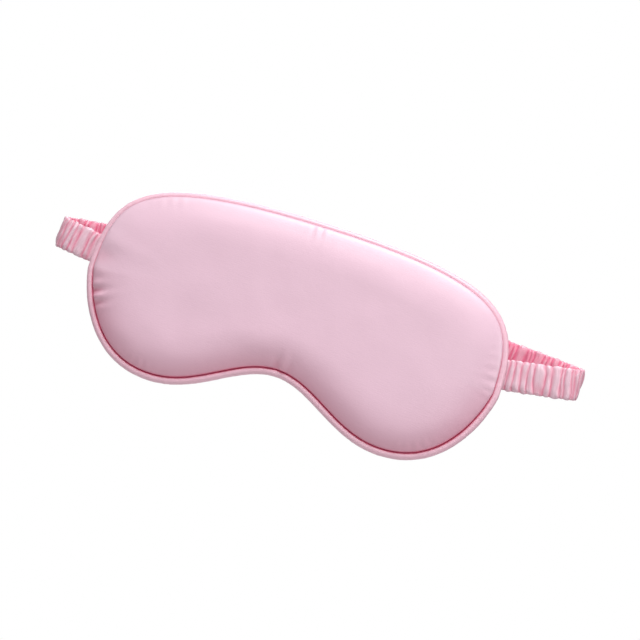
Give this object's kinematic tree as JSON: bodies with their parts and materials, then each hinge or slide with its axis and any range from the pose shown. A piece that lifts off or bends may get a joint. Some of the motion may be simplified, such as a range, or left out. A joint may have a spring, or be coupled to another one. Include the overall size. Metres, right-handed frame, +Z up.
{
  "type": "sleep eye mask",
  "caption": "Padded satin sleep mask with a corded edge and a nose notch, on a gathered elastic strap that opens to go round the head.",
  "frame": {"origin": "middle of the pad's back face, where the bridge of the nose comes", "axes": "+Z up towards the forehead, -Y out of the front of the mask, +Y towards the wearer, +X to the right as seen from the front"},
  "size_m": [0.2676, 0.022, 0.0987],
  "materials": {
    "satin": "soft pink polyester satin with a broad sheen",
    "piping_satin": "the same satin cut on the bias, folded round a cord",
    "strap_satin": "the same satin gathered into close folds",
    "wadding": "white polyester wadding",
    "blackout_lining": "dark woven interlining",
    "cotton_cord": "twisted cotton cord",
    "thread": "pink polyester sewing thread",
    "elastic": "flat woven elastic"
  },
  "bodies": {
    "pad": {"front_panel": "satin", "front_wadding": "wadding", "blackout_lining": "blackout_lining", "back_wadding": "wadding", "back_panel": "satin", "piping_cover": "piping_satin", "piping_cord": "cotton_cord", "seam_thread": "thread", "left_strap_end": "strap_satin", "right_strap_end": "strap_satin", "left_bar_tack": "thread", "right_bar_tack": "thread"},
    "strap_01": {"strap_cover_01": "strap_satin", "strap_elastic_01": "elastic"},
    "strap_02": {"strap_cover_02": "strap_satin", "strap_elastic_02": "elastic"},
    "strap_03": {"strap_cover_03": "strap_satin", "strap_elastic_03": "elastic"},
    "strap_04": {"strap_cover_04": "strap_satin", "strap_elastic_04": "elastic"},
    "strap_05": {"strap_cover_05": "strap_satin", "strap_elastic_05": "elastic"},
    "strap_06": {"strap_cover_06": "strap_satin", "strap_elastic_06": "elastic"},
    "strap_07": {"strap_cover_07": "strap_satin", "strap_elastic_07": "elastic"},
    "strap_08": {"strap_cover_08": "strap_satin", "strap_elastic_08": "elastic"},
    "strap_09": {"strap_cover_09": "strap_satin", "strap_elastic_09": "elastic"},
    "strap_10": {"strap_cover_10": "strap_satin", "strap_elastic_10": "elastic"},
    "strap_11": {"strap_cover_11": "strap_satin", "strap_elastic_11": "elastic"},
    "strap_12": {"strap_cover_12": "strap_satin", "strap_elastic_12": "elastic"}
  },
  "joints": [
    {"name": "strap_open", "type": "hinge", "parent": "pad", "child": "strap_01", "pos_m": [-0.104, -0.0031, 0.0043], "axis": [0, 0, -1], "range_deg": [0, 75]},
    {"name": "left_bend_1", "type": "hinge", "parent": "strap_01", "child": "strap_02", "pos_m": [-0.123, -0.0031, 0.0067], "axis": [0, 0, -1], "range_deg": [-65, 0]},
    {"name": "left_bend_2", "type": "hinge", "parent": "strap_02", "child": "strap_03", "pos_m": [-0.126, 0.0021, 0.0076], "axis": [0, 0, -1], "range_deg": [-48, 0]},
    {"name": "left_bend_3", "type": "hinge", "parent": "strap_03", "child": "strap_04", "pos_m": [-0.123, 0.00729, 0.009], "axis": [0, 0, -1], "range_deg": [-15, 0]},
    {"name": "left_bend_4", "type": "hinge", "parent": "strap_04", "child": "strap_05", "pos_m": [-0.071, 0.00729, 0.015], "axis": [0, 0, -1], "range_deg": [0, 37]},
    {"name": "left_bend_5", "type": "hinge", "parent": "strap_05", "child": "strap_06", "pos_m": [-0.019, 0.00729, 0.0184], "axis": [0, 0, -1], "range_deg": [0, 16]},
    {"name": "right_seam", "type": "hinge", "parent": "pad", "child": "strap_12", "pos_m": [0.104, -0.0031, 0.0056], "axis": [0, 0, -1], "range_deg": [-71, 0]},
    {"name": "right_bend_1", "type": "hinge", "parent": "strap_12", "child": "strap_11", "pos_m": [0.137, -0.0031, 0.011], "axis": [0, 0, -1], "range_deg": [0, 46]},
    {"name": "right_bend_2", "type": "hinge", "parent": "strap_11", "child": "strap_10", "pos_m": [0.14, 0.0021, 0.0124], "axis": [0, 0, -1], "range_deg": [0, 44]},
    {"name": "right_bend_3", "type": "hinge", "parent": "strap_10", "child": "strap_09", "pos_m": [0.137, 0.00729, 0.0134], "axis": [0, 0, -1], "range_deg": [0, 17]},
    {"name": "right_bend_4", "type": "hinge", "parent": "strap_09", "child": "strap_08", "pos_m": [0.085, 0.00729, 0.0164], "axis": [0, 0, -1], "range_deg": [-22, 0]},
    {"name": "right_bend_5", "type": "hinge", "parent": "strap_08", "child": "strap_07", "pos_m": [0.033, 0.00729, 0.0184], "axis": [0, 0, -1], "range_deg": [-14, 0]}
  ],
  "couplings": [
    {"joint": "left_bend_1", "follows": "strap_open", "ratio": -0.8666},
    {"joint": "left_bend_2", "follows": "strap_open", "ratio": -0.64},
    {"joint": "left_bend_3", "follows": "strap_open", "ratio": -0.2},
    {"joint": "left_bend_4", "follows": "strap_open", "ratio": 0.4933},
    {"joint": "left_bend_5", "follows": "strap_open", "ratio": 0.2133},
    {"joint": "right_seam", "follows": "strap_open", "ratio": -0.9466},
    {"joint": "right_bend_1", "follows": "strap_open", "ratio": 0.6133},
    {"joint": "right_bend_2", "follows": "strap_open", "ratio": 0.5866},
    {"joint": "right_bend_3", "follows": "strap_open", "ratio": 0.2266},
    {"joint": "right_bend_4", "follows": "strap_open", "ratio": -0.2933},
    {"joint": "right_bend_5", "follows": "strap_open", "ratio": -0.1866}
  ]
}
